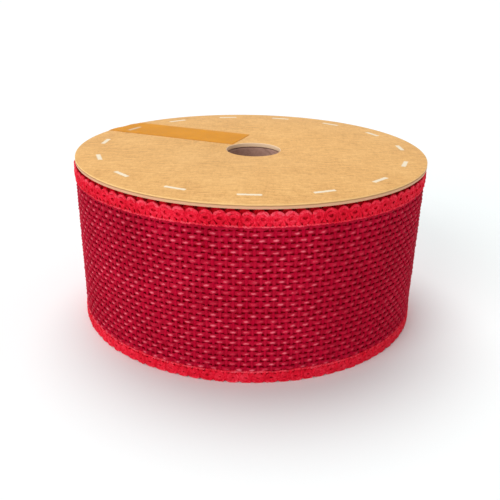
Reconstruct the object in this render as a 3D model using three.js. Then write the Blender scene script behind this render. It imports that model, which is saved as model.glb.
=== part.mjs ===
import * as THREE from "three";

// A roll of jute ribbon standing on its lower edge, in millimetres, with +Z up.
// The ribbon is wound on a paper core, has a scalloped edging along both of its edges,
// and carries a cardboard disc on top. A strip of sticky tape holds its loose end.

// Driving dimensions
const RIBBON_WIDTH = 63.5;
const RIBBON_THICKNESS = 1.55;
const WOUND_RADIUS = 69.7; // at the loose end, the widest place
const FOOT_DRAW_IN = 1.0; // how much narrower the winding is at its foot
const DISC_RADIUS = 69;
const DISC_THICKNESS = 1.7;
const HOLE_RADIUS = 10.8;
const CORE_BORE_RADIUS = 10.6;
const CORE_WALL = 2;
const CORE_OFF = 0.8; // how far the core and the hole above it lie off the disc's middle
const UPPER_EDGING = 5.6; // height of the edging under the disc
const LOWER_EDGING = 4.2; // the same edging at the foot, pressed shorter by the roll's weight
const EDGING_PROUD = 0.35; // how far the edging stands out from the woven field
const SCALLOPS = 95; // in one turn
const SCALLOP_DEPTH = 1.5;
const TAPE_WIDTH = 19;
const TAPE_THICKNESS = 0.4;
const TAPE_DROP = 24; // how far the tape reaches down the side
const FIT = 0.3; // gap between pieces that touch

// Where the loose end lies, counted anticlockwise from +X as seen from above
const LOOSE_END = THREE.MathUtils.degToRad(147.3);
const TURN = 2 * Math.PI;

const DISC_BOTTOM = RIBBON_WIDTH + FIT;
const DISC_TOP = DISC_BOTTOM + DISC_THICKNESS;
const CORE_RADIUS = CORE_BORE_RADIUS + CORE_WALL;
const EDGING_WALL = 0.85; // how deep the edging is let into the winding

const finish = (colour, roughness) =>
  new THREE.MeshStandardMaterial({ color: colour, roughness, metalness: 0 });

// A point at a radius, an angle about the axis and a height
const around = (radius, angle, height) =>
  new THREE.Vector3(radius * Math.cos(angle), radius * Math.sin(angle), height);

// The same about the core's own axis
const aroundCore = (radius, angle, height) =>
  around(radius, angle, height).add(new THREE.Vector3(CORE_OFF, 0, 0));

// The winding is a spiral: one ribbon thickness is lost over each turn away from the loose end.
const woundRadius = (angle, height) => {
  const share = (angle - LOOSE_END) / TURN;
  const drawIn = FOOT_DRAW_IN * (1 - height / RIBBON_WIDTH);
  return WOUND_RADIUS - RIBBON_THICKNESS * share - drawIn;
};

// Triangles that close a loop of points from both of its ends inwards, which also suits a bent strip
const ladder = (size) => {
  const rungs = [];
  let low = 0;
  let high = size - 1;
  while (high - low > 1) {
    rungs.push([low, low + 1, high]);
    low += 1;
    if (high - low > 1) {
      rungs.push([low, high - 1, high]);
      high -= 1;
    }
  }
  return rungs;
};

// Closed skin over a run of like sections. Each section is a loop of points that runs
// anticlockwise when it is seen from the side that the run comes from last. The run's ends are
// joined up into a ring or capped.
const skin = (sections, joined) => {
  const size = sections[0].length;
  const faces = [];
  const runs = joined ? sections.length : sections.length - 1;
  for (let run = 0; run < runs; run += 1) {
    const here = run * size;
    const there = ((run + 1) % sections.length) * size;
    for (let side = 0; side < size; side += 1) {
      const next = (side + 1) % size;
      faces.push(here + side, there + side, there + next);
      faces.push(here + side, there + next, here + next);
    }
  }
  if (!joined) {
    const last = (sections.length - 1) * size;
    for (const [a, b, c] of ladder(size)) {
      faces.push(a, b, c);
      faces.push(last + a, last + c, last + b);
    }
  }
  const geometry = new THREE.BufferGeometry().setFromPoints(sections.flat());
  geometry.setIndex(faces);
  geometry.computeVertexNormals();
  return geometry;
};

// Sections set evenly round the axis, each made by a function of its angle
const ring = (steps, section) =>
  skin(Array.from({ length: steps }, (_, step) => section((TURN * step) / steps)), true);

const piece = (name, geometry, material) => {
  const mesh = new THREE.Mesh(geometry, material);
  mesh.name = name;
  return mesh;
};

const cardboardDisc = () => {
  const edge = 0.25; // crushed corner left by the cutting die
  const section = (angle) => [
    aroundCore(HOLE_RADIUS, angle, DISC_BOTTOM),
    around(DISC_RADIUS - edge, angle, DISC_BOTTOM),
    around(DISC_RADIUS, angle, DISC_BOTTOM + edge),
    around(DISC_RADIUS, angle, DISC_TOP - edge),
    around(DISC_RADIUS - edge, angle, DISC_TOP),
    aroundCore(HOLE_RADIUS, angle, DISC_TOP),
  ];
  return piece("disc_top", ring(96, section), finish(0xe6b876, 0.85));
};

const paperCore = () => {
  const section = (angle) => [
    aroundCore(CORE_BORE_RADIUS, angle, 0),
    aroundCore(CORE_RADIUS, angle, 0),
    aroundCore(CORE_RADIUS, angle, RIBBON_WIDTH),
    aroundCore(CORE_BORE_RADIUS, angle, RIBBON_WIDTH),
  ];
  return piece("core", ring(48, section), finish(0x8a7072, 0.9));
};

// The whole winding in one solid, stepped in at both edges of its outermost turn for the edging.
// Its spiral outline ends in the small step of the loose end.
const ribbonRoll = () => {
  const inner = CORE_RADIUS + FIT;
  const letIn = EDGING_WALL + FIT;
  const stepAngle = THREE.MathUtils.degToRad(0.3);
  const sections = [];
  for (let column = 0; column <= SCALLOPS; column += 1) {
    const angle = LOOSE_END + (TURN - stepAngle) * (column / SCALLOPS);
    const at = (height, depth) => around(woundRadius(angle, height) - depth, angle, height);
    sections.push([
      aroundCore(inner, angle, 0),
      at(0, letIn),
      at(LOWER_EDGING, letIn),
      at(LOWER_EDGING, 0),
      at(RIBBON_WIDTH - UPPER_EDGING, 0),
      at(RIBBON_WIDTH - UPPER_EDGING, letIn),
      at(RIBBON_WIDTH, letIn),
      aroundCore(inner, angle, RIBBON_WIDTH),
    ]);
  }
  return piece("ribbon_roll", skin(sections, true), finish(0xa5122a, 0.9));
};

// One turn of scalloped edging. Every scallop is a raised dome with a valley at each side, and
// the band runs from a straight chain beside the weave out to the tips of the domes.
const edging = (name, upper) => {
  const columnsEach = 4;
  const columns = SCALLOPS * columnsEach;
  const endGap = THREE.MathUtils.degToRad(0.6);
  const chain = (upper ? UPPER_EDGING : LOWER_EDGING) - FIT;
  const sections = [];
  for (let column = 0; column <= columns; column += 1) {
    const angle = LOOSE_END + (TURN - endGap) * (column / columns);
    const across = (column % columnsEach) / columnsEach;
    const dome = Math.sin(Math.PI * across) ** 0.6;
    const tip = SCALLOP_DEPTH * (1 - dome);
    const middle = 0.5 * (tip + chain);
    const at = (edgeDistance, depth) => {
      const height = upper ? RIBBON_WIDTH - edgeDistance : edgeDistance;
      return around(woundRadius(angle, height) - depth, angle, height);
    };
    const loop = [
      at(chain, EDGING_WALL),
      at(chain, -0.5 * EDGING_PROUD),
      at(middle, -EDGING_PROUD * (0.6 + 0.4 * dome)),
      at(tip, 0.1),
      at(tip, EDGING_WALL),
    ];
    sections.push(upper ? loop : loop.reverse());
  }
  return piece(name, skin(sections, false), finish(0xeb2337, 0.8));
};

// Sticky tape: flat on the disc from a square end beside the hole, then over the rim and down
// the side across the loose end.
const tape = () => {
  const heading = THREE.MathUtils.degToRad(158.7); // the way it runs, from its square end out
  const along = around(1, heading, 0);
  const across = around(1, heading + Math.PI / 2, 0);
  const squareEnd = new THREE.Vector3(-4.3, 16.4, 0);
  const bend = 1.4;
  const clear = WOUND_RADIUS + EDGING_PROUD + FIT;
  const turnRadius = clear - bend;
  const reachFrom = (start) => {
    const facing = start.dot(along);
    return -facing + Math.sqrt(facing ** 2 - start.lengthSq() + turnRadius ** 2);
  };
  const crossing = squareEnd.clone().addScaledVector(along, reachFrom(squareEnd));
  const drift = Math.tan(heading - Math.atan2(crossing.y, crossing.x)) / clear;
  const lines = 9;
  const sections = [];
  for (let line = 0; line < lines; line += 1) {
    const offset = TAPE_WIDTH * (line / (lines - 1) - 0.5);
    const start = squareEnd.clone().addScaledVector(across, offset);
    const reach = reachFrom(start);
    const edge = start.clone().addScaledVector(along, reach);
    const azimuth = Math.atan2(edge.y, edge.x);
    const layer = (lift) => {
      const points = [];
      for (const share of [0, 0.35, 0.7, 1]) {
        const point = start.clone().addScaledVector(along, reach * share);
        points.push(point.setZ(DISC_TOP + FIT + lift));
      }
      for (const fold of [30, 60, 90]) {
        const angle = THREE.MathUtils.degToRad(fold);
        const out = turnRadius + (bend + lift) * Math.sin(angle);
        const drop = bend - (bend + lift) * Math.cos(angle);
        points.push(around(out, azimuth, DISC_TOP + FIT - drop));
      }
      for (const share of [0.33, 0.67, 1]) {
        const down = share * (TAPE_DROP - bend);
        points.push(around(clear + lift, azimuth + drift * down, DISC_TOP + FIT - bend - down));
      }
      return points;
    };
    sections.push([...layer(0), ...layer(TAPE_THICKNESS).reverse()]);
  }
  return piece("tape", skin(sections, false), finish(0xdc9a34, 0.35));
};

const roll = new THREE.Group();
roll.add(cardboardDisc());
roll.add(paperCore());
roll.add(ribbonRoll());
roll.add(edging("edging_top", true));
roll.add(edging("edging_bottom", false));
roll.add(tape());

// The winding is a little wider at the loose end's side, so the whole is centred on its own foot.
const bounds = new THREE.Box3().setFromObject(roll);
const middle = bounds.getCenter(new THREE.Vector3());
roll.position.set(-middle.x, -middle.y, -bounds.min.z);

export default roll;
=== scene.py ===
import math

import bpy
import numpy as np
from mathutils import Matrix, Vector


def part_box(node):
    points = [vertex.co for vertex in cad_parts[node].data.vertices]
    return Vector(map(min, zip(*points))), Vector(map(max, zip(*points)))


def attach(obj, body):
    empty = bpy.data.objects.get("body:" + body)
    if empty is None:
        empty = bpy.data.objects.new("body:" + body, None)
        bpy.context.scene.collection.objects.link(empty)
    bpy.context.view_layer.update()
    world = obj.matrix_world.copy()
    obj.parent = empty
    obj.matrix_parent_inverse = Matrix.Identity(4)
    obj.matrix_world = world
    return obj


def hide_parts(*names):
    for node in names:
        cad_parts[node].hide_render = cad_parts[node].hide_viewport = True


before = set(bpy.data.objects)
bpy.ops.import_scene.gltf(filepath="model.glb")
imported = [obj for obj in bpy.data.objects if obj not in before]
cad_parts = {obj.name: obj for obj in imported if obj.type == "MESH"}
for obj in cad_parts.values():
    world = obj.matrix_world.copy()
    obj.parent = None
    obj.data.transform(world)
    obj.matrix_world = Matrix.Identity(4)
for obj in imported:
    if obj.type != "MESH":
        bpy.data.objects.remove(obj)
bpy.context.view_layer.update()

# Driving dimensions, in metres
MM = 0.001
disc_low, disc_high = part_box("disc_top")
core_low, core_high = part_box("core")
AXIS = (disc_low + disc_high) / 2  # of the disc and the winding's outside
CORE_AXIS = (core_low + core_high) / 2  # of the core and the hole, a little off the disc's middle
DISC_RADIUS = (disc_high.x - disc_low.x) / 2
DISC_BOTTOM, DISC_TOP = disc_low.z, disc_high.z
DISC_THICKNESS = DISC_TOP - DISC_BOTTOM
HOLE_RADIUS = 10.8 * MM
CORE_RADIUS = (core_high.x - core_low.x) / 2
CORE_WALL = 2 * MM
RIBBON_WIDTH = core_high.z
RIBBON_THICKNESS = 1.55 * MM
WOUND_RADIUS = 69.7 * MM  # at the loose end, the widest place
FOOT_DRAW_IN = 1.0 * MM  # how much narrower the winding is at its foot
UPPER_EDGING = 5.6 * MM  # height of the edging under the disc
LOWER_EDGING = 4.2 * MM  # the same edging at the foot, pressed shorter
SCALLOPS = 95  # in the outermost turn
LOOSE_END = math.radians(147.3)  # anticlockwise from +X, as seen from above

# The weave: two rows of lengthwise yarn and two columns of crosswise yarn repeat
ROWS = 26
LOWEST_ROW = LOWER_EDGING + 0.9 * MM  # height of the lowest lengthwise yarn's middle
ROW = (RIBBON_WIDTH - UPPER_EDGING - 0.55 * MM - LOWEST_ROW) / (ROWS - 1)
LENGTHWISE_TALL, LENGTHWISE_DEEP = 1.72 * MM, 0.95 * MM
CROSSWISE_WIDE, CROSSWISE_DEEP = 1.15 * MM, 0.62 * MM
WEAVE_SWING = 0.24 * MM  # how far each lengthwise yarn swings out and in
CROSSWISE_SWING = 0.12 * MM  # the crosswise yarns are drawn in tighter
YARN_SIDES = 6  # of its section

# The winding's middle line at the foot, where the spiral guide lies
GUIDE_RADIUS = WOUND_RADIUS - FOOT_DRAW_IN - RIBBON_THICKNESS / 2
GUIDE_POINTS = 96  # in one turn
TURNS = (GUIDE_RADIUS - CORE_RADIUS - 0.9 * RIBBON_THICKNESS) / RIBBON_THICKNESS


# Modelling helpers


def only(*pieces):
    bpy.ops.object.select_all(action="DESELECT")
    for piece in pieces:
        piece.select_set(True)
    bpy.context.view_layer.objects.active = pieces[0]


def edit(piece, kind="VERT"):
    only(piece)
    bpy.ops.object.mode_set(mode="EDIT")
    bpy.ops.mesh.select_mode(type=kind)
    bpy.ops.mesh.select_all(action="SELECT")


def leave_edit():
    bpy.ops.object.mode_set(mode="OBJECT")


def select_where(piece, kind, wanted):
    """Selects the vertices, edges or faces whose middle passes the test, and stays in edit mode."""
    edit(piece, kind)
    bpy.ops.mesh.select_all(action="DESELECT")
    leave_edit()
    mesh = piece.data
    if kind == "FACE":
        for face in mesh.polygons:
            face.select = wanted(face.center, face.normal)
    elif kind == "EDGE":
        for edge in mesh.edges:
            ends = [mesh.vertices[i].co for i in edge.vertices]
            edge.select = wanted((ends[0] + ends[1]) / 2, ends[1] - ends[0])
    else:
        for vertex in mesh.vertices:
            vertex.select = wanted(vertex.co, vertex.normal)
    bpy.ops.object.mode_set(mode="EDIT")


def added(name):
    piece = bpy.context.object
    piece.name = piece.data.name = name
    return piece


def settle(piece):
    """Puts the piece's place, turn and size into its mesh."""
    only(piece)
    bpy.ops.object.transform_apply(location=True, rotation=True, scale=True)
    return piece


def apply_all(piece):
    only(piece)
    for modifier in list(piece.modifiers):
        bpy.ops.object.modifier_apply(modifier=modifier.name)
    return piece


def join(pieces, name):
    only(*pieces)
    bpy.ops.object.join()
    return added(name)


def repeat(piece, count, step, merged=False):
    """Copies the piece count times, each a step further."""
    array = piece.modifiers.new("repeat", "ARRAY")
    array.count = count
    array.use_relative_offset = False
    array.use_constant_offset = True
    array.constant_offset_displace = step
    array.use_merge_vertices = merged
    array.merge_threshold = 0.01 * MM
    return apply_all(piece)


def uneven(piece, direction, grain, amount, basis="BLENDER_ORIGINAL"):
    """Shifts the surface by smooth noise, up to half of amount each way. The grain is the noise's
    size along each axis."""
    clouds = bpy.data.textures.new(f"{piece.name} {direction}", "CLOUDS")
    clouds.noise_scale = 1
    clouds.noise_depth = 1
    clouds.noise_basis = basis
    scale = bpy.data.objects.new("grain", None)
    scale.scale = grain if isinstance(grain, tuple) else (grain, grain, grain)
    bpy.context.scene.collection.objects.link(scale)
    bpy.context.view_layer.update()
    shift = piece.modifiers.new("uneven", "DISPLACE")
    shift.texture = clouds
    shift.texture_coords = "OBJECT"
    shift.texture_coords_object = scale
    shift.direction = direction
    shift.strength = amount
    shift.mid_level = 0.5
    apply_all(piece)
    bpy.data.objects.remove(scale)
    return piece


def note_raised(piece, raised_at):
    """Notes how much each point of the flat ribbon is raised, from 0 to 1, for its colour: the yarn's
    painted highlight and lighter tone follow it.
    """
    note = piece.data.attributes.new("raised", "FLOAT", "POINT")
    for value, vertex in zip(note.data, piece.data.vertices):
        value.value = min(max(raised_at(vertex.co), 0), 1)


def close_ends(piece, sides):
    """Fills the open ends of strands of that many sides."""
    edit(piece, "EDGE")
    bpy.ops.mesh.select_all(action="DESELECT")
    bpy.ops.mesh.select_non_manifold(extend=False, use_multi_face=False, use_verts=False)
    bpy.ops.mesh.fill_holes(sides=sides)
    leave_edit()


def smooth(piece, angle=math.radians(50)):
    only(piece)
    bpy.ops.object.shade_smooth_by_angle(angle=angle)
    return piece


def strand(name, route, wide, deep, sides=YARN_SIDES, closed=False):
    """A yarn of oval section, extruded step by step along a route in the flat ribbon. Its width
    lies in the ribbon's plane, which is XZ here, and its depth along Y."""
    route = [Vector(point) for point in route]
    count = len(route)

    def heading(i):
        before = route[(i - 1) % count] if closed else route[max(i - 1, 0)]
        after = route[(i + 1) % count] if closed else route[min(i + 1, count - 1)]
        return math.atan2(after.z - before.z, after.x - before.x)

    facing = heading(0)
    bpy.ops.object.select_all(action="DESELECT")
    bpy.ops.mesh.primitive_circle_add(vertices=sides, radius=0.5, fill_type="NOTHING")
    piece = added(name)
    piece.scale = (wide, deep, 1)
    piece.rotation_euler = (0, math.pi / 2 - facing, 0)
    piece.location = route[0]
    settle(piece)
    edit(piece)
    stops = [*range(1, count), 0] if closed else range(1, count)
    here = route[0]
    for i in stops:
        turn = math.remainder(heading(i) - facing, 2 * math.pi)
        bpy.ops.mesh.extrude_region_move(TRANSFORM_OT_translate={"value": route[i] - here})
        if abs(turn) > 1e-6:
            bpy.ops.transform.rotate(value=turn, orient_axis="Y", center_override=route[i])
        here, facing = route[i], facing + turn
    bpy.ops.mesh.select_all(action="SELECT")
    bpy.ops.mesh.remove_doubles(threshold=0.01 * MM)
    bpy.ops.mesh.normals_make_consistent(inside=False)
    leave_edit()
    return piece


# The spiral that the flat ribbon is wound along


def spiral_guide():
    count = round(GUIDE_POINTS * TURNS)
    turned = np.arange(count + 1) * 2 * math.pi / GUIDE_POINTS
    radius = GUIDE_RADIUS - RIBBON_THICKNESS * turned / (2 * math.pi)
    drift = (CORE_AXIS.x - AXIS.x) * turned / turned[-1]
    route = np.stack(
        [
            AXIS.x + drift + radius * np.cos(LOOSE_END + turned),
            AXIS.y + radius * np.sin(LOOSE_END + turned),
        ],
        axis=1,
    )
    guide = bpy.data.curves.new("spiral_guide", "CURVE")
    guide.dimensions = "3D"
    guide.twist_mode = "Z_UP"
    line = guide.splines.new("POLY")
    line.points.add(count)
    for point, (x, y) in zip(line.points, route):
        point.co = (x, y, 0, 1)
    placed = bpy.data.objects.new("spiral_guide", guide)
    bpy.context.scene.collection.objects.link(placed)
    steps = np.linalg.norm(np.diff(route, axis=0), axis=1)
    return placed, float(steps[:GUIDE_POINTS].sum()), float(steps.sum())


guide, FIRST_TURN, WOUND_LENGTH = spiral_guide()
SCALLOP = FIRST_TURN / SCALLOPS
OUTER_SCALLOPS = SCALLOPS + 1  # the outer turn goes on for one more, under its own loose end


def wind(piece):
    """Bends the flat ribbon, whose length is X, along the spiral, and widens it towards the top."""
    bend = piece.modifiers.new("wind", "CURVE")
    bend.object = guide
    bend.deform_axis = "POS_X"
    apply_all(piece)
    heights = [vertex.co.z for vertex in piece.data.vertices]
    widen = piece.modifiers.new("widen", "SIMPLE_DEFORM")
    widen.deform_method = "TAPER"
    widen.deform_axis = "Z"
    share = (max(heights) - min(heights)) / RIBBON_WIDTH
    widen.factor = FOOT_DRAW_IN / GUIDE_RADIUS * share
    return apply_all(piece)


# Materials


class Value:
    """A node's output whose arithmetic adds Math nodes."""

    def __init__(self, finish, socket):
        self.finish = finish
        self.socket = socket

    def _maths(self, operation, *values):
        return self.finish.maths(operation, *values)

    def __add__(self, other):
        return self._maths("ADD", self, other)

    def __radd__(self, other):
        return self._maths("ADD", other, self)

    def __sub__(self, other):
        return self._maths("SUBTRACT", self, other)

    def __rsub__(self, other):
        return self._maths("SUBTRACT", other, self)

    def __mul__(self, other):
        return self._maths("MULTIPLY", self, other)

    def __rmul__(self, other):
        return self._maths("MULTIPLY", other, self)

    def __truediv__(self, other):
        return self._maths("DIVIDE", self, other)

    def __neg__(self):
        return self._maths("MULTIPLY", self, -1)

    def __abs__(self):
        return self._maths("ABSOLUTE", self)

    def __pow__(self, other):
        return self._maths("POWER", self, other)


class Finish:
    """A material and the nodes of its procedural pattern. Lengths in it are millimetres."""

    def __init__(self, name, **constants):
        self.material = bpy.data.materials.new(name)
        self.material.use_nodes = True
        self.tree = self.material.node_tree
        self.shader = self.tree.nodes["Principled BSDF"]
        for socket, value in constants.items():
            self.shader.inputs[socket.replace("_", " ")].default_value = value
        place = self.node("ShaderNodeTexCoord").outputs["Object"]
        middle = self.node(
            "ShaderNodeVectorMath",
            {"operation": "SUBTRACT"},
            {0: place, 1: (AXIS.x, AXIS.y, 0)},
        )
        scaled = self.node(
            "ShaderNodeVectorMath",
            {"operation": "SCALE"},
            {0: middle.outputs[0], "Scale": 1 / MM},
        )
        self.place = scaled.outputs[0]
        split = self.node("ShaderNodeSeparateXYZ", {}, {0: self.place})
        self.x, self.y, self.z = (Value(self, split.outputs[i]) for i in range(3))

    def node(self, kind, settings=None, sockets=None):
        node = self.tree.nodes.new(kind)
        for name, value in (settings or {}).items():
            if name == "stops":
                self._set_stops(node.color_ramp, value)
            else:
                setattr(node, name, value)
        for name, value in (sockets or {}).items():
            self.feed(node.inputs[name], value)
        return node

    @staticmethod
    def _set_stops(ramp, stops):
        for element, (position, _) in zip(ramp.elements, (stops[0], stops[-1])):
            element.position = position
        for position, _ in stops[1:-1]:
            ramp.elements.new(position)
        for element, (_, colour) in zip(ramp.elements, stops):
            element.color = (*colour, 1)

    def feed(self, socket, value):
        if isinstance(value, Value):
            value = value.socket
        if isinstance(value, bpy.types.NodeSocket):
            self.tree.links.new(value, socket)
        elif socket.type == "RGBA":
            socket.default_value = (*value, 1)
        else:
            socket.default_value = value

    def maths(self, operation, *values):
        node = self.node("ShaderNodeMath", {"operation": operation}, dict(enumerate(values)))
        return Value(self, node.outputs[0])

    def ease(self, value, low, high):
        """0 under low and 1 over high, with a soft step between."""
        node = self.node(
            "ShaderNodeMapRange",
            {"interpolation_type": "SMOOTHSTEP"},
            {"Value": value, "From Min": low, "From Max": high},
        )
        return Value(self, node.outputs["Result"])

    def stretched(self, scale):
        """The place, scaled by its own amount along each axis."""
        node = self.node(
            "ShaderNodeVectorMath", {"operation": "MULTIPLY"}, {0: self.place, 1: scale}
        )
        return node.outputs[0]

    def noise(self, scale, detail=2.0, place=None, distortion=0.0):
        node = self.node(
            "ShaderNodeTexNoise",
            {},
            {
                "Vector": self.place if place is None else place,
                "Scale": scale,
                "Detail": detail,
                "Distortion": distortion,
            },
        )
        return Value(self, node.outputs["Fac"])

    def raised(self):
        """How far the yarn stands out here, as it was noted on the flat ribbon."""
        node = self.node("ShaderNodeAttribute", {"attribute_name": "raised"})
        return Value(self, node.outputs["Fac"])

    def mix(self, share, first, second):
        node = self.node(
            "ShaderNodeMix", {"data_type": "RGBA"}, {0: share, 6: first, 7: second}
        )
        return node.outputs[2]

    def ramp(self, value, stops):
        node = self.node("ShaderNodeValToRGB", {"stops": stops}, {0: value})
        return node.outputs["Color"]

    def set(self, socket, value):
        self.feed(self.shader.inputs[socket], value)

    def bump(self, height, depth, strength=1.0):
        node = self.node(
            "ShaderNodeBump", {}, {"Height": height, "Distance": depth, "Strength": strength}
        )
        self.set("Normal", node.outputs[0])

    def onto(self, piece):
        piece.data.materials.clear()
        piece.data.materials.append(self.material)
        return piece


KRAFT = (0.75, 0.41, 0.13)
KRAFT_DARK = (0.52, 0.25, 0.065)
KRAFT_LIGHT = (0.90, 0.56, 0.22)
PLY_LINE = (0.50, 0.26, 0.11)
LOWER_PLY = (0.70, 0.38, 0.22)
CUT_EDGE = (0.98, 0.72, 0.47)
PRINTED_WHITE = (0.86, 0.78, 0.60)
DASHES = 15
DASH_RING = 60.9  # the radius of their ring, whose middle is off the disc's
DASH_MIDDLE = (0.36, 1.7)
DASH_TURN = math.radians(-0.66)
DASH_LONG, DASH_WIDE = 8.1, 1.65


def dash_mask(finish):
    """White printed dashes, evenly set round the disc a little inside its edge."""
    x, y = finish.x - DASH_MIDDLE[0], finish.y - DASH_MIDDLE[1]
    radius = (x * x + y * y) ** 0.5
    sector = 2 * math.pi / DASHES
    turned = (finish.maths("ARCTAN2", x, -y) - DASH_TURN) / sector + 0.5
    off = (turned - finish.maths("FLOOR", turned) - 0.5) * sector
    outward = abs(radius * finish.maths("COSINE", off) - DASH_RING)
    along = abs(radius * finish.maths("SINE", off))
    wear_and_highlight = (finish.noise(1.6, 3) - 0.5) * 0.7
    soft = 0.22
    across = 1 - finish.ease(outward + wear_and_highlight, DASH_WIDE / 2 - soft, DASH_WIDE / 2 + soft)
    return across * (1 - finish.ease(along + wear_and_highlight, DASH_LONG / 2 - soft, DASH_LONG / 2 + soft))


def kraft_board():
    finish = Finish("kraft board", Specular_IOR_Level=0.35)
    cloudy = finish.noise(0.06, 3)
    fibre_one = finish.noise(1.0, 4, finish.stretched((0.3, 1.9, 1)), 0.6)
    fibre_two = finish.noise(1.0, 4, finish.stretched((1.2, 0.35, 1)), 0.8)
    fine = finish.noise(2.6, 2)
    tone = cloudy * 0.15 + fibre_one * 0.45 + fibre_two * 0.2 + fine * 0.2
    face = finish.ramp(tone, [(0.34, KRAFT_DARK), (0.5, KRAFT), (0.68, KRAFT_LIGHT)])
    specks = finish.ease(finish.noise(2.2, 1), 0.70, 0.76)
    face = finish.mix(specks * 0.5, face, KRAFT_DARK)
    top = finish.ease(finish.z, DISC_TOP / MM - 0.3, DISC_TOP / MM - 0.1)
    printed = dash_mask(finish) * top
    face = finish.mix(printed * 0.85, face, PRINTED_WHITE)
    # The cut edge shows the board's plies
    depth = DISC_TOP / MM - finish.z + (finish.noise(0.35, 2) - 0.5) * 0.25
    ply = finish.ramp(
        depth / (DISC_THICKNESS / MM),
        [(0.0, KRAFT_LIGHT), (0.22, KRAFT_LIGHT), (0.28, PLY_LINE), (0.4, PLY_LINE), (0.5, LOWER_PLY)],
    )
    radius = (finish.x * finish.x + finish.y * finish.y) ** 0.5
    rim = finish.ease(radius, DISC_RADIUS / MM - 0.2, DISC_RADIUS / MM - 0.1)
    face = finish.mix(rim, face, ply)
    off_core = finish.x - (CORE_AXIS.x - AXIS.x) / MM
    radius = (off_core * off_core + finish.y * finish.y) ** 0.5
    bore = 1 - finish.ease(radius, HOLE_RADIUS / MM + 0.1, HOLE_RADIUS / MM + 0.2)
    finish.set("Base Color", finish.mix(bore, face, CUT_EDGE))
    finish.set("Roughness", 0.72 + (fibre_one - 0.5) * 0.35 - printed * 0.12)
    finish.bump(fibre_one * 0.6 + fibre_two * 0.5 + fine * 0.3, 0.05 * MM, 0.8)
    return finish


def core_paper():
    finish = Finish("core paper", Specular_IOR_Level=0.3)
    lead = 38.0  # of the wound paper strip, along the axis for each turn
    turned = finish.maths("ARCTAN2", finish.y, finish.x) / (2 * math.pi)
    place = finish.z / lead - turned
    seam_off = abs(place - finish.maths("FLOOR", place) - 0.5) * lead
    seam = 1 - finish.ease(seam_off, 0.25, 0.6)
    beside = finish.ease(seam_off, 0.5, 0.9) * (1 - finish.ease(seam_off, 1.4, 2.4))
    pulp = finish.noise(1.4, 4) * 0.6 + finish.noise(0.22, 2) * 0.4
    face = finish.ramp(
        pulp, [(0.32, (0.36, 0.20, 0.155)), (0.52, (0.44, 0.26, 0.20)), (0.7, (0.52, 0.31, 0.25))]
    )
    face = finish.mix(beside * 0.2, face, (0.58, 0.37, 0.31))
    finish.set("Base Color", finish.mix(seam * 0.25, face, (0.20, 0.11, 0.09)))
    finish.set("Roughness", 0.78 + (pulp - 0.5) * 0.3)
    finish.bump(pulp * 0.5 - seam * 0.4, 0.12 * MM, 0.9)
    return finish


def yarn(name, stops, wear_and_highlight, stretch, fibre_bump, roughness, **constants):
    """Dyed yarn whose fibres run the way in which the pattern is stretched. Where it stands out a
    pale highlight is painted on, by the highlight share, and less so on the roll's right, away from
    the light."""
    finish = Finish(name, **constants)
    fibres = finish.noise(1.0, 3, finish.stretched(stretch), 0.4)
    broad = finish.noise(0.045, 1)
    patches = finish.noise(0.16, 2)
    slubs = finish.noise(0.5, 2)
    raised = finish.raised()
    # Raised parts get a slightly lighter tone: painted light.
    tone = fibres * 0.4 + broad * 0.2 + patches * 0.15 + slubs * 0.15 + raised * 0.1
    dyed = finish.ramp(tone, stops)
    patchy = finish.ease(finish.noise(0.42, 2) + (fibres - 0.5) * 0.6, 0.42, 0.60)
    # Broad patches of stronger and weaker painted highlight.
    highlight_strength = finish.ease(broad, 0.2, 0.65) * 0.5 + 0.55
    # The painted highlight fades on the roll's right, away from the light.
    away_from_light = finish.ease(finish.x, 10, 42)
    # A pale pink highlight is painted on the crests of the raised yarn, in patches.
    painted_highlight = finish.ease(raised, 0.35, 0.9) * (0.12 + 0.88 * patchy)
    painted_highlight = painted_highlight * highlight_strength * (1 - 0.72 * away_from_light) * wear_and_highlight
    finish.set("Base Color", finish.mix(painted_highlight, dyed, HIGHLIGHT_PINK))
    finish.set("Roughness", roughness + (fibres - 0.5) * 0.4)
    finish.bump(fibres, fibre_bump * MM, 0.9)
    return finish


# Colour of the highlight painted on the yarn's crests.
HIGHLIGHT_PINK = (0.94, 0.20, 0.26)
CRIMSON = [(0.32, (0.27, 0.0, 0.010)), (0.5, (0.47, 0.002, 0.026)), (0.68, (0.68, 0.007, 0.045))]
# A darker copy of the crimson for the crosswise yarns: painted shade, as they catch less of the light
# from above.
SHADED_CRIMSON = [(0.32, (0.23, 0.0, 0.008)), (0.5, (0.41, 0.001, 0.020)), (0.68, (0.58, 0.003, 0.035))]
EDGING_RED = [(0.36, (0.46, 0.0, 0.008)), (0.5, (0.80, 0.006, 0.030)), (0.62, (0.95, 0.045, 0.085))]


def lengthwise_yarn():
    return yarn(
        "lengthwise jute", CRIMSON, 0.8, (0.45, 0.45, 5.0), 0.10, 0.7, Specular_IOR_Level=0.08
    )


def crosswise_yarn():
    return yarn(
        "crosswise jute", SHADED_CRIMSON, 0.03, (4.5, 4.5, 0.45), 0.10, 0.8, Specular_IOR_Level=0.02
    )


def edging_yarn():
    return yarn(
        "edging yarn", EDGING_RED, 0.4, (1.8, 1.8, 1.8), 0.14, 0.7, Specular_IOR_Level=0.08
    )


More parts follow.
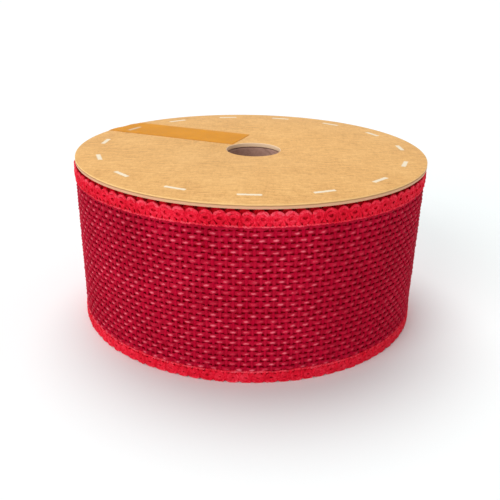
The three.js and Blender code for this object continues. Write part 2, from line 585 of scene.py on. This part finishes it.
def wound_cloth():
    """The turns under the outermost one: woven rows between two bright edgings."""
    finish = Finish("wound jute", Specular_IOR_Level=0.05)
    row = finish.maths("COSINE", (finish.z - LOWEST_ROW / MM) * (2 * math.pi / (ROW / MM)))
    fibres = finish.noise(1.0, 3, finish.stretched((0.6, 0.6, 3.0)), 0.5)
    patches = finish.noise(0.8, 2)
    tone = fibres * 0.4 + patches * 0.4 + row * 0.08 + 0.1
    field = finish.ramp(
        tone, [(0.3, (0.55, 0.0, 0.004)), (0.5, (0.85, 0.0, 0.008)), (0.7, (0.95, 0.0, 0.015))]
    )
    band = finish.ramp(
        tone, [(0.3, (0.45, 0.002, 0.006)), (0.5, (0.78, 0.006, 0.018)), (0.7, (0.92, 0.02, 0.04))]
    )
    middle = (RIBBON_WIDTH - UPPER_EDGING + LOWER_EDGING) / 2 / MM
    off_middle = abs(finish.z - middle) + (finish.noise(1.2, 2) - 0.5) * 0.8
    edge = (RIBBON_WIDTH - UPPER_EDGING - LOWER_EDGING) / 2 / MM
    in_band = finish.ease(off_middle, edge - 0.2, edge + 0.2)
    finish.set("Base Color", finish.mix(in_band, field, band))
    finish.set("Roughness", 0.7 + (fibres - 0.5) * 0.3)
    finish.bump(row * 0.5 + fibres + patches * 0.6, 0.25 * MM, 0.9)
    return finish


def amber_film():
    finish = Finish("amber film", Specular_IOR_Level=0.1, Alpha=0.76)
    patches = finish.noise(0.09, 3)
    fine = finish.noise(1.3, 3)
    tone = patches * 0.6 + fine * 0.4
    face = finish.ramp(
        tone, [(0.35, (0.76, 0.30, 0.0)), (0.52, (0.84, 0.34, 0.0)), (0.68, (0.91, 0.38, 0.0))]
    )
    through = dash_mask(finish) * finish.ease(finish.z, DISC_TOP / MM - 0.3, DISC_TOP / MM)
    finish.set("Base Color", finish.mix(through * 0.6, face, PRINTED_WHITE))  # seen through it
    finish.set("Roughness", 0.38 + (fine - 0.5) * 0.2)
    finish.bump(patches, 0.15 * MM, 0.5)
    return finish


# The woven field of the outermost turn


def over_under(side, share, swing=WEAVE_SWING):
    """How far a yarn swings from the ribbon's middle at a share of its repeat. Each of its floats
    is flat on top and dives at both ends."""
    lift = 1.5 * math.cos(2 * math.pi * share)
    return side * swing * min(max(lift, -1), 1)


def row_side(row):
    return -1 if row % 2 == 0 else 1


def float_crest(place):
    """How near a point of a lengthwise yarn is to the crest line of one of its floats."""
    row = round((place.z - LOWEST_ROW) / ROW)
    swing = over_under(row_side(row), place.x / SCALLOP)
    hidden_by_chain = row == ROWS - 1
    if place.y > swing or hidden_by_chain:
        return 0
    off_middle = abs(place.z - LOWEST_ROW - row * ROW) / (LENGTHWISE_TALL / 2)
    return -swing / WEAVE_SWING * (1 - off_middle)


def lengthwise_yarns():
    steps = 6
    rows = []
    for row in range(2):
        route = [
            (SCALLOP * i / steps, over_under(row_side(row), i / steps), LOWEST_ROW + row * ROW)
            for i in range(steps + 1)
        ]
        rows.append(strand("row", route, LENGTHWISE_TALL, LENGTHWISE_DEEP))
    field = join(rows, "lengthwise_yarns")
    repeat(field, OUTER_SCALLOPS, (SCALLOP, 0, 0), merged=True)
    close_ends(field, YARN_SIDES)
    repeat(field, ROWS // 2, (0, 0, 2 * ROW))
    note_raised(field, float_crest)
    uneven(field, "NORMAL", (7 * MM, 3 * MM, 1.7 * MM), 0.5 * MM, "ORIGINAL_PERLIN")
    uneven(field, "Z", (6 * MM, 6 * MM, 3 * MM), 0.8 * MM)
    uneven(field, "Y", 4 * MM, 0.3 * MM, "IMPROVED_PERLIN")
    return smooth(lengthwise_yarn().onto(wind(field)))


def crosswise_yarns():
    steps = 6
    low = LOWER_EDGING - 0.3 * MM
    high = RIBBON_WIDTH - UPPER_EDGING + 0.3 * MM
    start = LOWEST_ROW - 2 * ROW
    columns = []
    for column in range(2):
        across = column * SCALLOP / 2
        side = row_side(column + 1)
        route = []
        for i in range(steps + 1):
            swing = over_under(side, i / steps, CROSSWISE_SWING)
            route.append((across, swing, start + 2 * ROW * i / steps))
        columns.append(strand("column", route, CROSSWISE_WIDE, CROSSWISE_DEEP))
    field = join(columns, "crosswise_yarns")
    repeat(field, ROWS // 2 + 2, (0, 0, 2 * ROW), merged=True)
    for height, keeps_above in ((low, True), (high, False)):
        edit(field)
        bpy.ops.mesh.bisect(
            plane_co=(0, 0, height),
            plane_no=(0, 0, 1),
            use_fill=True,
            clear_inner=keeps_above,
            clear_outer=not keeps_above,
        )
        leave_edit()
    repeat(field, OUTER_SCALLOPS, (SCALLOP, 0, 0))
    furthest = CROSSWISE_SWING + CROSSWISE_DEEP / 2
    note_raised(field, lambda place: -place.y / furthest)
    uneven(field, "NORMAL", (1.9 * MM, 3 * MM, 8 * MM), 0.42 * MM, "ORIGINAL_PERLIN")
    uneven(field, "X", (3 * MM, 6 * MM, 6 * MM), 0.9 * MM)
    uneven(field, "Y", 4 * MM, 0.3 * MM, "IMPROVED_PERLIN")
    return smooth(crosswise_yarn().onto(wind(field)))


# The crocheted edging of the outermost turn. Heights are counted from its chain, beside the
# weave, out towards the tips of its scallops.

SCALLOP_REACH = 5.25 * MM  # from the chain to the tips
UPPER_CUSHION = 1.3 * MM  # thickness of the yarn round a scallop's hole
LOWER_CUSHION = 2.0 * MM  # the same at the foot, where it is squeezed wider
PRESSED_TIPS = 0.8 * MM  # how much of the lower scallops' tips the roll's weight flattens


def arc_points(middle, wide, tall, start, end, count, depth):
    """Points on part of an oval, between two angles counted from +X towards +Z."""
    points = []
    for i in range(count + 1):
        angle = math.radians(start + (end - start) * i / count)
        points.append((wide * math.cos(angle), depth, middle + tall * math.sin(angle)))
    return points


def scallop_strands(cushion):
    """One scallop: its outer arc, whose legs cross its neighbours', the cushion round its hole,
    of a given thickness, and the stem beneath."""
    half = SCALLOP / 2
    outer = [(-1.25 * half, -0.05 * MM, 0.3 * MM), (-1.0 * half, -0.3 * MM, 1.5 * MM)]
    outer += arc_points(3.1 * MM, 0.86 * half, 1.6 * MM, 190, -10, 10, -0.42 * MM)
    outer += [(1.0 * half, -0.5 * MM, 1.5 * MM), (1.25 * half, -0.35 * MM, 0.3 * MM)]
    arc = strand("outer_arc", outer, 1.1 * MM, 0.95 * MM)
    # The noted raise sets each strand's painted highlight: most on the front of the arc's crown, less
    # on the ring and the stem.
    note_raised(arc, lambda place: 0.75 if place.z > 3.6 * MM and place.y < -0.6 * MM else 0.3)
    around_hole = arc_points(2.5 * MM, 1.4 * MM, 1.12 * MM, 0, 324, 9, -0.45 * MM)
    ring = strand("ring", around_hole, cushion, 0.9 * MM, closed=True)
    note_raised(ring, lambda place: 0.45 if place.y < -0.6 * MM else 0.2)
    upright = [(0, -0.1 * MM, -0.1 * MM), (0, -0.35 * MM, 0.5 * MM), (0, -0.35 * MM, 1.5 * MM)]
    stem = strand("stem", upright, 1.9 * MM, 0.8 * MM)
    note_raised(stem, lambda _: 0.2)
    return [arc, ring, stem]


def chain_strands():
    """What runs along the whole edging: two twisted strands beside the weave, and the web of
    yarn behind the scallops."""
    steps = 12
    pieces = []
    for side in (1, -1):
        route = []
        for i in range(steps + 1):
            turned = 4 * math.pi * i / steps
            route.append(
                (
                    SCALLOP * (i / steps - 0.5),
                    (-0.42 + 0.18 * side * math.cos(turned)) * MM,
                    0.17 * side * math.sin(turned) * MM,
                )
            )
        chain = strand("chain", route, 0.55 * MM, 0.6 * MM, 5)
        # The chain's front takes a strong painted highlight, its back a weaker one.
        note_raised(chain, lambda place: 0.85 if place.y < -0.45 * MM else 0.5)
        pieces.append(chain)
    behind = [(SCALLOP * (i / 4 - 0.5), 0.1 * MM, 2.2 * MM) for i in range(5)]
    web = strand("web", behind, 4.5 * MM, 0.5 * MM)
    note_raised(web, lambda _: 0)
    pieces.append(web)
    return pieces


def crochet_edging(name, upper):
    scallop = join(scallop_strands(UPPER_CUSHION if upper else LOWER_CUSHION), name)
    close_ends(scallop, YARN_SIDES)
    chain = join(chain_strands(), "chain")
    repeat(chain, OUTER_SCALLOPS, (SCALLOP, 0, 0), merged=True)
    close_ends(chain, YARN_SIDES)
    repeat(scallop, OUTER_SCALLOPS, (SCALLOP, 0, 0))
    band = join([scallop, chain], name)
    if upper:
        band.location = (SCALLOP / 2, 0, RIBBON_WIDTH - UPPER_EDGING)
    else:
        band.location = (SCALLOP / 2, 0, LOWER_EDGING)
        band.scale = (1, 1, -(LOWER_EDGING + PRESSED_TIPS) / SCALLOP_REACH)
    settle(band)
    if not upper:
        edit(band)
        bpy.ops.mesh.normals_make_consistent(inside=False)
        leave_edit()
    uneven(band, "X", 3.5 * MM, 1.0 * MM)
    uneven(band, "Z", 3 * MM, 0.7 * MM, "IMPROVED_PERLIN")
    uneven(band, "Y", 3 * MM, 0.5 * MM, "ORIGINAL_PERLIN")
    uneven(band, "X", 1.4 * MM, 0.5 * MM, "VORONOI_F1")
    uneven(band, "NORMAL", 1.0 * MM, 0.45 * MM)
    if not upper:
        select_where(band, "VERT", lambda place, _: place.z < 0)
        bpy.ops.transform.resize(value=(1, 1, 0), center_override=(0, 0, 0))
        leave_edit()
    return smooth(edging_yarn().onto(wind(band)))


# The turns beneath, as one long strip


WALL = 1.2 * MM  # of the cloth of one turn
VALLEY = 1.7 * MM  # how far the edge is drawn in between two scallops


def wound_turns():
    columns = 4
    start = OUTER_SCALLOPS * SCALLOP
    count = math.floor((WOUND_LENGTH - start) / SCALLOP)
    bpy.ops.object.select_all(action="DESELECT")
    bpy.ops.mesh.primitive_grid_add(x_subdivisions=columns, y_subdivisions=3, size=1)
    strip = added("wound_turns")
    strip.scale = (SCALLOP, RIBBON_WIDTH, 1)
    strip.rotation_euler = (math.pi / 2, 0, 0)
    strip.location = (SCALLOP / 2, 0, RIBBON_WIDTH / 2)
    settle(strip)
    third = RIBBON_WIDTH / 3
    for side in (-1, 1):
        inner = RIBBON_WIDTH / 2 + side * third / 2
        select_where(strip, "VERT", lambda place, _: abs(place.z - inner) < 0.1 * third)
        shift = side * (third - (UPPER_EDGING if side > 0 else LOWER_EDGING))
        bpy.ops.transform.translate(value=(0, 0, shift))
        leave_edit()
    for column, dome in ((0, 0.0), (1, 0.8), (3, 0.8), (4, 0.0)):
        across = SCALLOP * column / columns
        for side in (-1, 1):
            edge = RIBBON_WIDTH * (0.5 + 0.5 * side)
            corner = Vector((across, 0, edge))
            select_where(strip, "VERT", lambda place, _: (place - corner).length < 0.1 * MM)
            bpy.ops.transform.translate(value=(0, 0, -side * VALLEY * (1 - dome)))
            leave_edit()
    repeat(strip, count, (SCALLOP, 0, 0), merged=True)
    strip.location = (start, 0, 0)
    settle(strip)
    uneven(strip, "Y", 9 * MM, 0.7 * MM)
    uneven(strip, "Y", 2.5 * MM, 0.35 * MM, "IMPROVED_PERLIN")
    wall = strip.modifiers.new("wall", "SOLIDIFY")
    wall.thickness = WALL
    wall.offset = 0
    apply_all(strip)
    return smooth(wound_cloth().onto(wind(strip)))


def frayed_end():
    """Short yarn ends that stick out past the ribbon's cut end."""
    tufts = []
    for side in (-1, 1):
        for spread in (-0.35, 0.05, 0.4):
            height = LOWEST_ROW + ROW * (0 if side < 0 else 1)
            route = [
                (1.2 * MM, 0.3 * side * WEAVE_SWING, height),
                (0, 0.6 * side * WEAVE_SWING, height + 0.3 * spread * MM),
                (-0.9 * MM, 0.2 * side * WEAVE_SWING, height + spread * MM),
                (-(1.9 + spread) * MM, -0.2 * MM, height + 1.6 * spread * MM),
            ]
            tufts.append(strand("tuft", route, 0.42 * MM, 0.4 * MM, 5))
    tuft = join(tufts, "frayed_end")
    close_ends(tuft, 5)
    repeat(tuft, ROWS // 2, (0, 0, 2 * ROW))
    uneven(tuft, "X", 2.5 * MM, 2.2 * MM)
    uneven(tuft, "Z", 1.5 * MM, 0.9 * MM, "IMPROVED_PERLIN")
    return smooth(lengthwise_yarn().onto(wind(tuft)))


# The cover disc, the core and the tape


def ring_at(radius, height, axis=AXIS):
    """A test for what lies on a circle round an axis at a height."""
    near = 0.1 * MM

    def on_ring(place, _):
        off = math.hypot(place.x - axis.x, place.y - axis.y) - radius
        return abs(off) < near and abs(place.z - height) < near

    return on_ring


def on_any(tests):
    """A test for what passes at least one of the tests."""
    tests = list(tests)
    return lambda place, way: any(test(place, way) for test in tests)


CRUSHED_EDGE = 0.22 * MM  # rounding left by the cutting die
PLY = 0.52 * MM  # thickness of the board's top ply
PLY_GROOVE = 0.16 * MM  # height of the groove beneath it


def cover_disc():
    steps = 192
    middle = (AXIS.x, AXIS.y, (DISC_BOTTOM + DISC_TOP) / 2)
    bpy.ops.object.select_all(action="DESELECT")
    bpy.ops.mesh.primitive_cylinder_add(
        vertices=steps, radius=DISC_RADIUS, depth=DISC_THICKNESS, location=middle
    )
    disc = settle(added("cover_disc"))
    for height in (DISC_TOP, DISC_BOTTOM):
        select_where(disc, "FACE", lambda place, _: abs(place.z - height) < 0.01 * MM)
        bpy.ops.mesh.inset(thickness=DISC_RADIUS - HOLE_RADIUS)
        bpy.ops.mesh.delete(type="FACE")
        leave_edit()
    select_where(disc, "EDGE", on_any(ring_at(HOLE_RADIUS, z) for z in (DISC_TOP, DISC_BOTTOM)))
    bpy.ops.mesh.bridge_edge_loops()
    bpy.ops.transform.translate(value=(CORE_AXIS.x - AXIS.x, 0, 0))
    leave_edit()
    rims = (
        ring_at(radius, height, axis)
        for radius, axis in ((DISC_RADIUS, AXIS), (HOLE_RADIUS, CORE_AXIS))
        for height in (DISC_TOP, DISC_BOTTOM)
    )
    select_where(disc, "EDGE", on_any(rims))
    bpy.ops.mesh.bevel(offset=CRUSHED_EDGE, segments=3)
    leave_edit()
    ply_foot = DISC_TOP - PLY
    for height in (ply_foot, ply_foot - PLY_GROOVE):
        edit(disc)
        bpy.ops.mesh.bisect(plane_co=(0, 0, height), plane_no=(0, 0, 1))
        leave_edit()
    groove = ply_foot - PLY_GROOVE / 2
    outside = DISC_RADIUS - MM
    select_where(
        disc,
        "FACE",
        lambda place, _: abs(place.z - groove) < 0.01 * MM and (place - AXIS).xy.length > outside,
    )
    bpy.ops.mesh.inset(thickness=0.03 * MM, depth=-0.1 * MM)
    leave_edit()
    return smooth(kraft_board().onto(disc), math.radians(40))


def core_tube():
    steps = 96
    height = core_high.z - core_low.z
    bore = CORE_RADIUS - CORE_WALL
    bpy.ops.object.select_all(action="DESELECT")
    bpy.ops.mesh.primitive_cylinder_add(
        vertices=steps, radius=CORE_RADIUS, depth=height, location=CORE_AXIS
    )
    core = settle(added("core_tube"))
    levels = (core_low.z, core_high.z)
    for level in levels:
        select_where(core, "FACE", lambda place, _: abs(place.z - level) < 0.01 * MM)
        bpy.ops.mesh.inset(thickness=CORE_WALL)
        bpy.ops.mesh.delete(type="FACE")
        leave_edit()
    select_where(core, "EDGE", on_any(ring_at(bore, level, CORE_AXIS) for level in levels))
    bpy.ops.mesh.bridge_edge_loops()
    leave_edit()
    rims = (
        ring_at(radius, level, CORE_AXIS) for radius in (bore, CORE_RADIUS) for level in levels
    )
    select_where(core, "EDGE", on_any(rims))
    bpy.ops.mesh.bevel(offset=0.25 * MM, segments=3)
    leave_edit()
    return smooth(core_paper().onto(core), math.radians(40))


TAPE_WIDTH = 19 * MM
TAPE_DROP = 24 * MM
TAPE_FILM = 0.12 * MM
TAPE_HEADING = math.radians(158.7)  # the way it runs, from its square end out
TAPE_END = Vector((-4.3 * MM, 16.4 * MM, 0))
TAPE_SIDE = WOUND_RADIUS + 0.45 * MM  # radius at which it runs down the side
TAPE_TOP = DISC_TOP + 0.05 * MM
TAPE_BEND = 1.3 * MM
DROP_STEPS = 12


def tape_former():
    """The smooth shape that the tape is pressed on to: the disc's top and the ribbon's side."""
    bpy.ops.object.select_all(action="DESELECT")
    bpy.ops.mesh.primitive_cylinder_add(
        vertices=384, radius=TAPE_SIDE, depth=TAPE_TOP, location=(AXIS.x, AXIS.y, TAPE_TOP / 2)
    )
    former = settle(added("tape_former"))
    select_where(former, "EDGE", lambda place, _: abs(place.z - TAPE_TOP) < 0.01 * MM)
    bpy.ops.mesh.bevel(offset=TAPE_BEND, segments=8)
    leave_edit()
    return former


def sticky_tape():
    along = Vector((math.cos(TAPE_HEADING), math.sin(TAPE_HEADING), 0))
    facing = TAPE_END.dot(along)
    reach = -facing + math.sqrt(facing**2 - TAPE_END.length_squared + TAPE_SIDE**2)
    bpy.ops.object.select_all(action="DESELECT")
    bpy.ops.mesh.primitive_grid_add(x_subdivisions=26, y_subdivisions=20, size=1)
    tape = added("sticky_tape")
    tape.scale = (reach, TAPE_WIDTH, 1)
    tape.rotation_euler = (0, 0, TAPE_HEADING)
    middle = AXIS + TAPE_END + along * reach / 2
    tape.location = (middle.x, middle.y, TAPE_TOP)
    settle(tape)
    lip = (AXIS + TAPE_END).dot(along) + reach
    select_where(tape, "EDGE", lambda place, _: place.dot(along) > lip - 0.1 * MM)
    down = {"value": (0, 0, -TAPE_DROP / DROP_STEPS)}
    for _ in range(DROP_STEPS):
        bpy.ops.mesh.extrude_region_move(TRANSFORM_OT_translate=down)
    leave_edit()
    former = tape_former()
    press = tape.modifiers.new("press", "SHRINKWRAP")
    press.target = former
    press.wrap_method = "NEAREST_SURFACEPOINT"
    apply_all(tape)
    bpy.data.objects.remove(former)
    uneven(tape, "NORMAL", 9 * MM, 0.06 * MM)
    film = tape.modifiers.new("film", "SOLIDIFY")
    film.thickness = TAPE_FILM
    film.offset = 1
    apply_all(tape)
    return smooth(amber_film().onto(tape))


def build_roll():
    core = core_tube()
    turns = wound_turns()
    lengthwise = lengthwise_yarns()
    crosswise = crosswise_yarns()
    top_edging = crochet_edging("crochet_top", True)
    bottom_edging = crochet_edging("crochet_bottom", False)
    fray = frayed_end()
    disc = cover_disc()
    tape = sticky_tape()
    bpy.data.objects.remove(guide)
    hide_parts("core")
    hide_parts("ribbon_roll")
    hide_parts("edging_top")
    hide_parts("edging_bottom")
    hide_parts("disc_top")
    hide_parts("tape")
    slots = {
        core: "core_paper",
        turns: "jute_weave",
        lengthwise: "jute_weave",
        crosswise: "jute_weave",
        fray: "jute_weave",
        top_edging: "edging_yarn",
        bottom_edging: "edging_yarn",
        disc: "kraft_board",
        tape: "sticky_tape",
    }
    for piece, slot in slots.items():
        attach(piece, "root")


# Studio


def white_floor():
    bpy.ops.object.select_all(action="DESELECT")
    bpy.ops.mesh.primitive_plane_add(size=12, location=(0, 0, -0.1 * MM))
    floor = added("floor")
    paint = Finish("floor paint", Roughness=0.9, Specular_IOR_Level=0.0)
    paint.set("Base Color", (0.90, 0.94, 0.94))
    clear = paint.node("ShaderNodeBsdfTransparent")
    below = paint.node("ShaderNodeNewGeometry").outputs["Backfacing"]
    one_sided = paint.node(
        "ShaderNodeMixShader", {}, {0: below, 1: paint.shader.outputs[0], 2: clear.outputs[0]}
    )
    surface = paint.tree.nodes["Material Output"].inputs["Surface"]
    paint.tree.links.new(one_sided.outputs[0], surface)
    paint.onto(floor)


def daylight(name, turned, height, strength):
    """Wide soft light from far off. It is turned that many degrees right of the camera's side and
    stands that many above the ground."""
    lamp = bpy.data.lights.new(name, "SUN")
    lamp.angle = math.radians(40)
    lamp.energy = strength
    light = bpy.data.objects.new(name, lamp)
    bpy.context.scene.collection.objects.link(light)
    turned, height = math.radians(turned), math.radians(height)
    from_there = Vector(
        (math.sin(turned) * math.cos(height), -math.cos(turned) * math.cos(height), math.sin(height))
    )
    light.rotation_euler = (-from_there).to_track_quat("-Z", "Y").to_euler()


def studio_sky():
    """White at the horizon, so that the floor runs into it, and dimmer overhead."""
    world = bpy.data.worlds.new("studio")
    world.use_nodes = True
    tree = world.node_tree
    way = tree.nodes.new("ShaderNodeTexCoord")
    split = tree.nodes.new("ShaderNodeSeparateXYZ")
    tree.links.new(way.outputs["Generated"], split.inputs[0])
    fade = tree.nodes.new("ShaderNodeMapRange")
    for name, value in {"From Min": 0.0, "From Max": 0.35, "To Min": 1.0, "To Max": 0.4}.items():
        fade.inputs[name].default_value = value
    tree.links.new(split.outputs["Z"], fade.inputs["Value"])
    background = tree.nodes["Background"]
    background.inputs["Color"].default_value = (1, 1, 1, 1)
    tree.links.new(fade.outputs["Result"], background.inputs["Strength"])
    bpy.context.scene.world = world


def studio():
    white_floor()
    studio_sky()
    daylight("overhead", turned=-165, height=68, strength=0.57 * math.pi)
    daylight("window", turned=-42, height=27, strength=0.40 * math.pi)
    bpy.context.scene.view_settings.view_transform = "Standard"


def photo_camera():
    """The place that the photo was taken from, fitted to the disc's outline and the foot."""
    back, height = 273.7 * MM, 134.5 * MM
    pitch, yaw, roll = math.radians(22.386), math.radians(0.05), math.radians(1.14)
    lens = bpy.data.cameras.new("camera")
    lens.lens = 50.09
    lens.clip_start = 0.01
    camera = bpy.data.objects.new("camera", lens)
    bpy.context.scene.collection.objects.link(camera)
    turn = (
        Matrix.Rotation(-yaw, 4, "Z")
        @ Matrix.Rotation(math.pi / 2 - pitch, 4, "X")
        @ Matrix.Rotation(roll, 4, "Z")
    )
    camera.matrix_world = Matrix.Translation((AXIS.x, AXIS.y - back, height)) @ turn
    bpy.context.scene.camera = camera


build_roll()
studio()
photo_camera()
